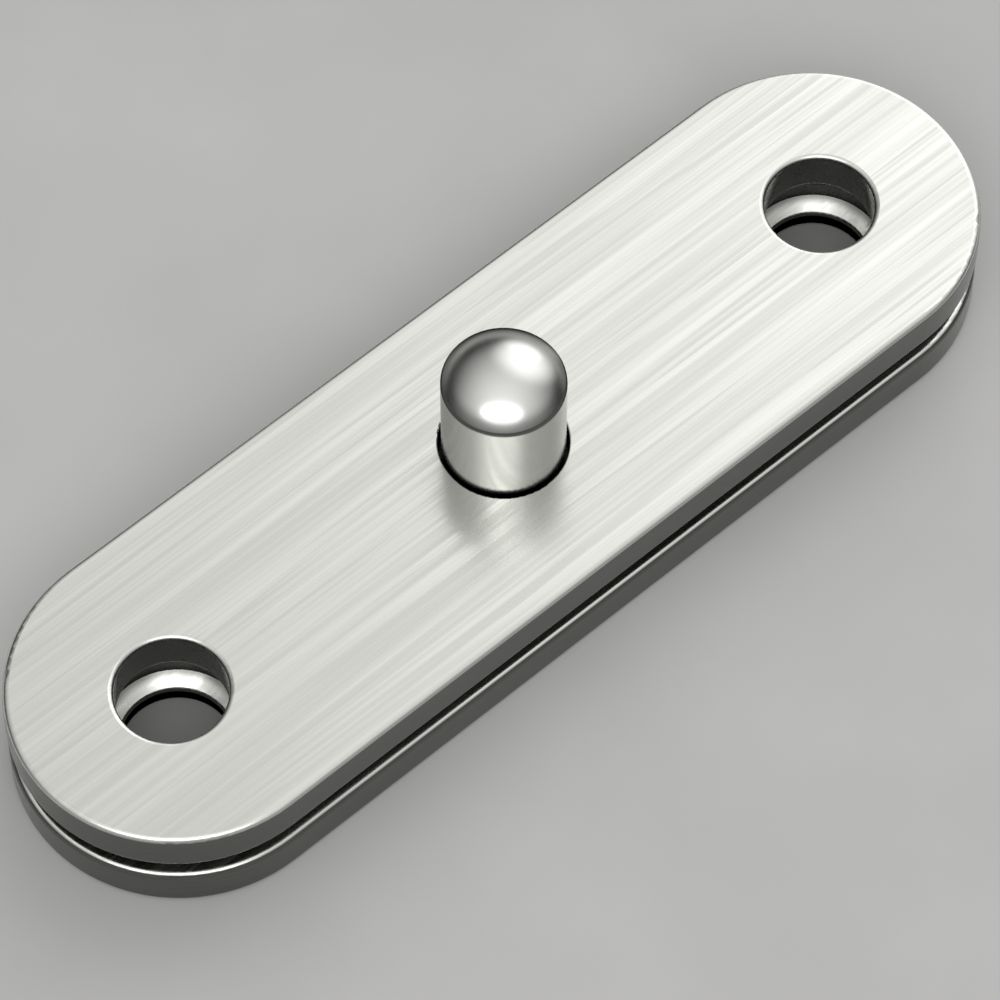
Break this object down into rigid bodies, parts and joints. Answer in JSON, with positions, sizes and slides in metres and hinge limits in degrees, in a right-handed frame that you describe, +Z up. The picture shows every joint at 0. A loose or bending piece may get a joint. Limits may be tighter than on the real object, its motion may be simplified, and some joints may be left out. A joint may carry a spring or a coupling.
{
  "type": "pivot hinge",
  "caption": "Bearing pivot hinge: two round-ended steel plates, one turning over the other on a thrust bearing round a domed pin.",
  "frame": {"origin": "on the pin's axis, on the underside of the base plate", "axes": "+Z up along the pin, +X along the plates, +Y across them"},
  "size_m": [0.069, 0.02, 0.0158],
  "materials": {
    "plate_steel": "brushed",
    "pin_steel": "polished",
    "race_steel": "ground",
    "ball_steel": "polished",
    "cage_brass": "satin"
  },
  "bodies": {
    "base": {"base_plate": "plate_steel", "pivot_pin": "pin_steel", "lower_race": "race_steel"},
    "door_leaf": {"door_plate": "plate_steel", "upper_race": "race_steel"},
    "ball_set": {"ball_cage": "cage_brass", "ball_01": "ball_steel", "ball_02": "ball_steel", "ball_03": "ball_steel", "ball_04": "ball_steel", "ball_05": "ball_steel", "ball_06": "ball_steel", "ball_07": "ball_steel", "ball_08": "ball_steel", "ball_09": "ball_steel", "ball_10": "ball_steel", "ball_11": "ball_steel", "ball_12": "ball_steel", "ball_13": "ball_steel", "ball_14": "ball_steel"}
  },
  "joints": [
    {"name": "door_turn", "type": "hinge", "parent": "base", "child": "door_leaf", "pos_m": [0, 0, 0.0044], "axis": [0, 0, 1], "continuous": true},
    {"name": "ball_set_turn", "type": "hinge", "parent": "base", "child": "ball_set", "pos_m": [0, 0, 0.0037], "axis": [0, 0, 1], "continuous": true}
  ],
  "couplings": [
    {"joint": "ball_set_turn", "follows": "door_turn", "ratio": 0.5}
  ]
}
